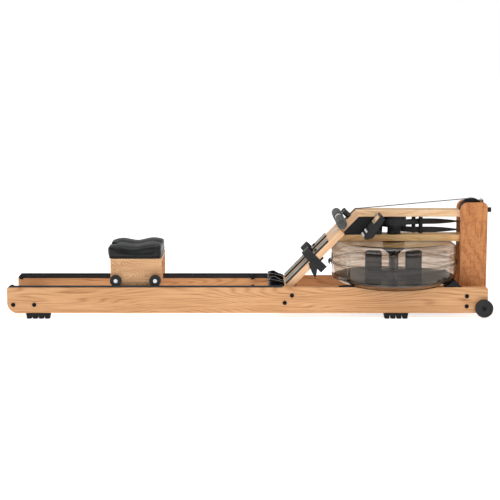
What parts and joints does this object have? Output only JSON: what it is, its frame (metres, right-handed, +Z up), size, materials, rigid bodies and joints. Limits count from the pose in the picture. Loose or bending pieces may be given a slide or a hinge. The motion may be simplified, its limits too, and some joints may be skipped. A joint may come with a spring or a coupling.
{
  "type": "rowing machine",
  "caption": "Wooden rowing machine with a clear water tank, sliding seat on rails, sloping footboard with toe straps, pull handle on a webbing strap and a tilting monitor.",
  "frame": {"origin": "bottom centre of the bounding box, on the floor under the feet", "axes": "+X along the rails towards the tank and front legs, +Y to the rower's left, +Z up"},
  "size_m": [2.085, 0.56, 0.5035],
  "materials": {
    "rail_wood": "satin oiled, open straight grain",
    "leg_wood": "satin oiled, redder end-figured grain",
    "seat_wood": "satin oiled, flame grain",
    "track_plastic": "matt black extruded PVC",
    "black_rubber": "matt",
    "guard_plastic": "matt moulded",
    "tank_clear": "clear smoky polycarbonate",
    "steel": "satin",
    "black_steel": "black oxide, satin",
    "paddle_steel": "satin stainless",
    "strap_webbing": "woven black webbing",
    "badge_silver": "satin, blank",
    "grip_foam": "matt foam",
    "sleeve_grey": "satin moulded",
    "foot_plate_grey": "matt moulded, finely ribbed",
    "seat_cover": "soft satin vinyl",
    "wheel_tread": "satin polyurethane",
    "transport_wheel": "matt moulded",
    "monitor_black": "satin moulded",
    "monitor_glass": "glossy display window, blank",
    "key_white": "satin"
  },
  "bodies": {
    "root": {"right_rail": "rail_wood", "left_rail": "rail_wood", "rear_spreader": "rail_wood", "front_spreaders": "rail_wood", "foot_spreader": "rail_wood", "footboard": "rail_wood", "upper_deck": "rail_wood", "lower_deck": "rail_wood", "right_leg": "leg_wood", "left_leg": "leg_wood", "right_track": "track_plastic", "left_track": "track_plastic", "plate_guides": "track_plastic", "rubber_stops": "black_rubber", "feet": "black_rubber", "tank_chocks": "black_rubber", "tank_plug": "black_rubber", "belt_guards": "guard_plastic", "spindle_housing": "guard_plastic", "handle_rests": "guard_plastic", "tank_upper": "tank_clear", "tank_lower": "tank_clear", "tank_gasket": "tank_clear", "pulley_axles": "steel", "belt_keeper": "steel", "frame_bolts": "black_steel", "monitor_arm": "black_steel", "drive_strap_inner": "strap_webbing", "recoil_strap": "strap_webbing", "toe_straps": "strap_webbing", "bungee_cord": "strap_webbing", "badge": "badge_silver"},
    "seat": {"seat_pad": "seat_cover", "seat_chassis": "seat_wood", "seat_wheel_bolts": "steel"},
    "handle": {"handle_bar": "black_steel", "handle_grips": "grip_foam", "handle_sleeve": "sleeve_grey", "drive_strap": "strap_webbing"},
    "drum": {"drive_drum": "guard_plastic"},
    "paddle_wheel": {"paddle_shaft": "steel", "paddle": "paddle_steel"},
    "front_pulley_wheel": {"front_pulley": "guard_plastic"},
    "recoil_pulley_wheel": {"recoil_pulley": "guard_plastic"},
    "front_guide": {"guide_roller_front": "guard_plastic"},
    "rear_guide": {"guide_roller_rear": "guard_plastic"},
    "right_footrest": {"right_foot_plate": "foot_plate_grey", "right_heel_cup": "black_rubber"},
    "left_footrest": {"left_foot_plate": "foot_plate_grey", "left_heel_cup": "black_rubber"},
    "monitor": {"monitor_case": "monitor_black", "monitor_screen": "monitor_glass"},
    "lower_key": {"monitor_key_lower": "key_white"},
    "upper_key": {"monitor_key_upper": "key_white"},
    "right_transport": {"right_transport_wheel": "transport_wheel"},
    "left_transport": {"left_transport_wheel": "transport_wheel"},
    "wheel_rear_right": {"seat_wheel_rear_right": "wheel_tread"},
    "wheel_rear_left": {"seat_wheel_rear_left": "wheel_tread"},
    "wheel_front_right": {"seat_wheel_front_right": "wheel_tread"},
    "wheel_front_left": {"seat_wheel_front_left": "wheel_tread"}
  },
  "joints": [
    {"name": "seat_slide", "type": "slide", "parent": "root", "child": "seat", "axis": [1, 0, 0], "range_m": [-0.42, 0.387]},
    {"name": "handle_pull", "type": "slide", "parent": "root", "child": "handle", "axis": [-0.9865, 0, 0.164], "range_m": [0, 1.2], "stiffness_N_per_m": 12, "springref_m": -0.7, "deforming": ["drive_strap"]},
    {"name": "paddle_spin", "type": "hinge", "parent": "root", "child": "paddle_wheel", "pos_m": [0.6296, 0, 0.2], "axis": [0, 0, 1], "continuous": true},
    {"name": "drum_spin", "type": "hinge", "parent": "root", "child": "drum", "pos_m": [0.6296, 0, 0.4], "axis": [0, 0, 1], "range_deg": [0, 1340]},
    {"name": "front_pulley_spin", "type": "hinge", "parent": "root", "child": "front_pulley_wheel", "pos_m": [0.9676, 0, 0.452], "axis": [0, -1, 0], "range_deg": [0, 1380]},
    {"name": "recoil_pulley_spin", "type": "hinge", "parent": "root", "child": "recoil_pulley_wheel", "pos_m": [0.9676, 0, 0.34095], "axis": [0, -1, 0], "range_deg": [0, 1560]},
    {"name": "front_guide_spin", "type": "hinge", "parent": "root", "child": "front_guide", "pos_m": [0.745, -0.01005, 0.39], "axis": [0, 0, -1], "range_deg": [0, 6860]},
    {"name": "rear_guide_spin", "type": "hinge", "parent": "root", "child": "rear_guide", "pos_m": [0.716, 0.01005, 0.39], "axis": [0, 0, -1], "range_deg": [0, 3700]},
    {"name": "wheel_rear_right_spin", "type": "hinge", "parent": "seat", "child": "wheel_rear_right", "pos_m": [-0.576, -0.1565, 0.163], "axis": [0, 1, 0], "range_deg": [-1000, 920]},
    {"name": "wheel_rear_left_spin", "type": "hinge", "parent": "seat", "child": "wheel_rear_left", "pos_m": [-0.576, 0.1565, 0.163], "axis": [0, 1, 0], "range_deg": [-1000, 920]},
    {"name": "wheel_front_right_spin", "type": "hinge", "parent": "seat", "child": "wheel_front_right", "pos_m": [-0.407, -0.1565, 0.163], "axis": [0, 1, 0], "range_deg": [-1000, 920]},
    {"name": "wheel_front_left_spin", "type": "hinge", "parent": "seat", "child": "wheel_front_left", "pos_m": [-0.407, 0.1565, 0.163], "axis": [0, 1, 0], "range_deg": [-1000, 920]},
    {"name": "right_footrest_slide", "type": "slide", "parent": "root", "child": "right_footrest", "axis": [0.6984, 0, 0.7157], "range_m": [0, 0.06]},
    {"name": "right_transport_spin", "type": "hinge", "parent": "root", "child": "right_transport", "pos_m": [1.0035, -0.1825, 0.046], "axis": [0, 1, 0], "continuous": true},
    {"name": "left_footrest_slide", "type": "slide", "parent": "root", "child": "left_footrest", "axis": [0.6984, 0, 0.7157], "range_m": [0, 0.06]},
    {"name": "left_transport_spin", "type": "hinge", "parent": "root", "child": "left_transport", "pos_m": [1.0035, 0.1825, 0.046], "axis": [0, 1, 0], "continuous": true},
    {"name": "monitor_tilt", "type": "hinge", "parent": "root", "child": "monitor", "pos_m": [0.54571, -0.125, 0.37014], "axis": [0, 1, 0], "range_deg": [-20, 25]},
    {"name": "lower_key_press", "type": "slide", "parent": "monitor", "child": "lower_key", "axis": [0.7771, 0, -0.6293], "range_m": [0, 0.001], "stiffness_N_per_m": 400, "springref_m": -0.001},
    {"name": "upper_key_press", "type": "slide", "parent": "monitor", "child": "upper_key", "axis": [0.7771, 0, -0.6293], "range_m": [0, 0.001], "stiffness_N_per_m": 400, "springref_m": -0.001}
  ],
  "couplings": [
    {"joint": "drum_spin", "follows": "handle_pull", "rad_per_m": 19.212},
    {"joint": "front_pulley_spin", "follows": "handle_pull", "rad_per_m": 19.782},
    {"joint": "recoil_pulley_spin", "follows": "handle_pull", "rad_per_m": 22.408},
    {"joint": "front_guide_spin", "follows": "handle_pull", "rad_per_m": 99.502},
    {"joint": "rear_guide_spin", "follows": "handle_pull", "rad_per_m": 53.622},
    {"joint": "wheel_rear_right_spin", "follows": "seat_slide", "rad_per_m": 40.816},
    {"joint": "wheel_rear_left_spin", "follows": "seat_slide", "rad_per_m": 40.816},
    {"joint": "wheel_front_right_spin", "follows": "seat_slide", "rad_per_m": 40.816},
    {"joint": "wheel_front_left_spin", "follows": "seat_slide", "rad_per_m": 40.816}
  ]
}
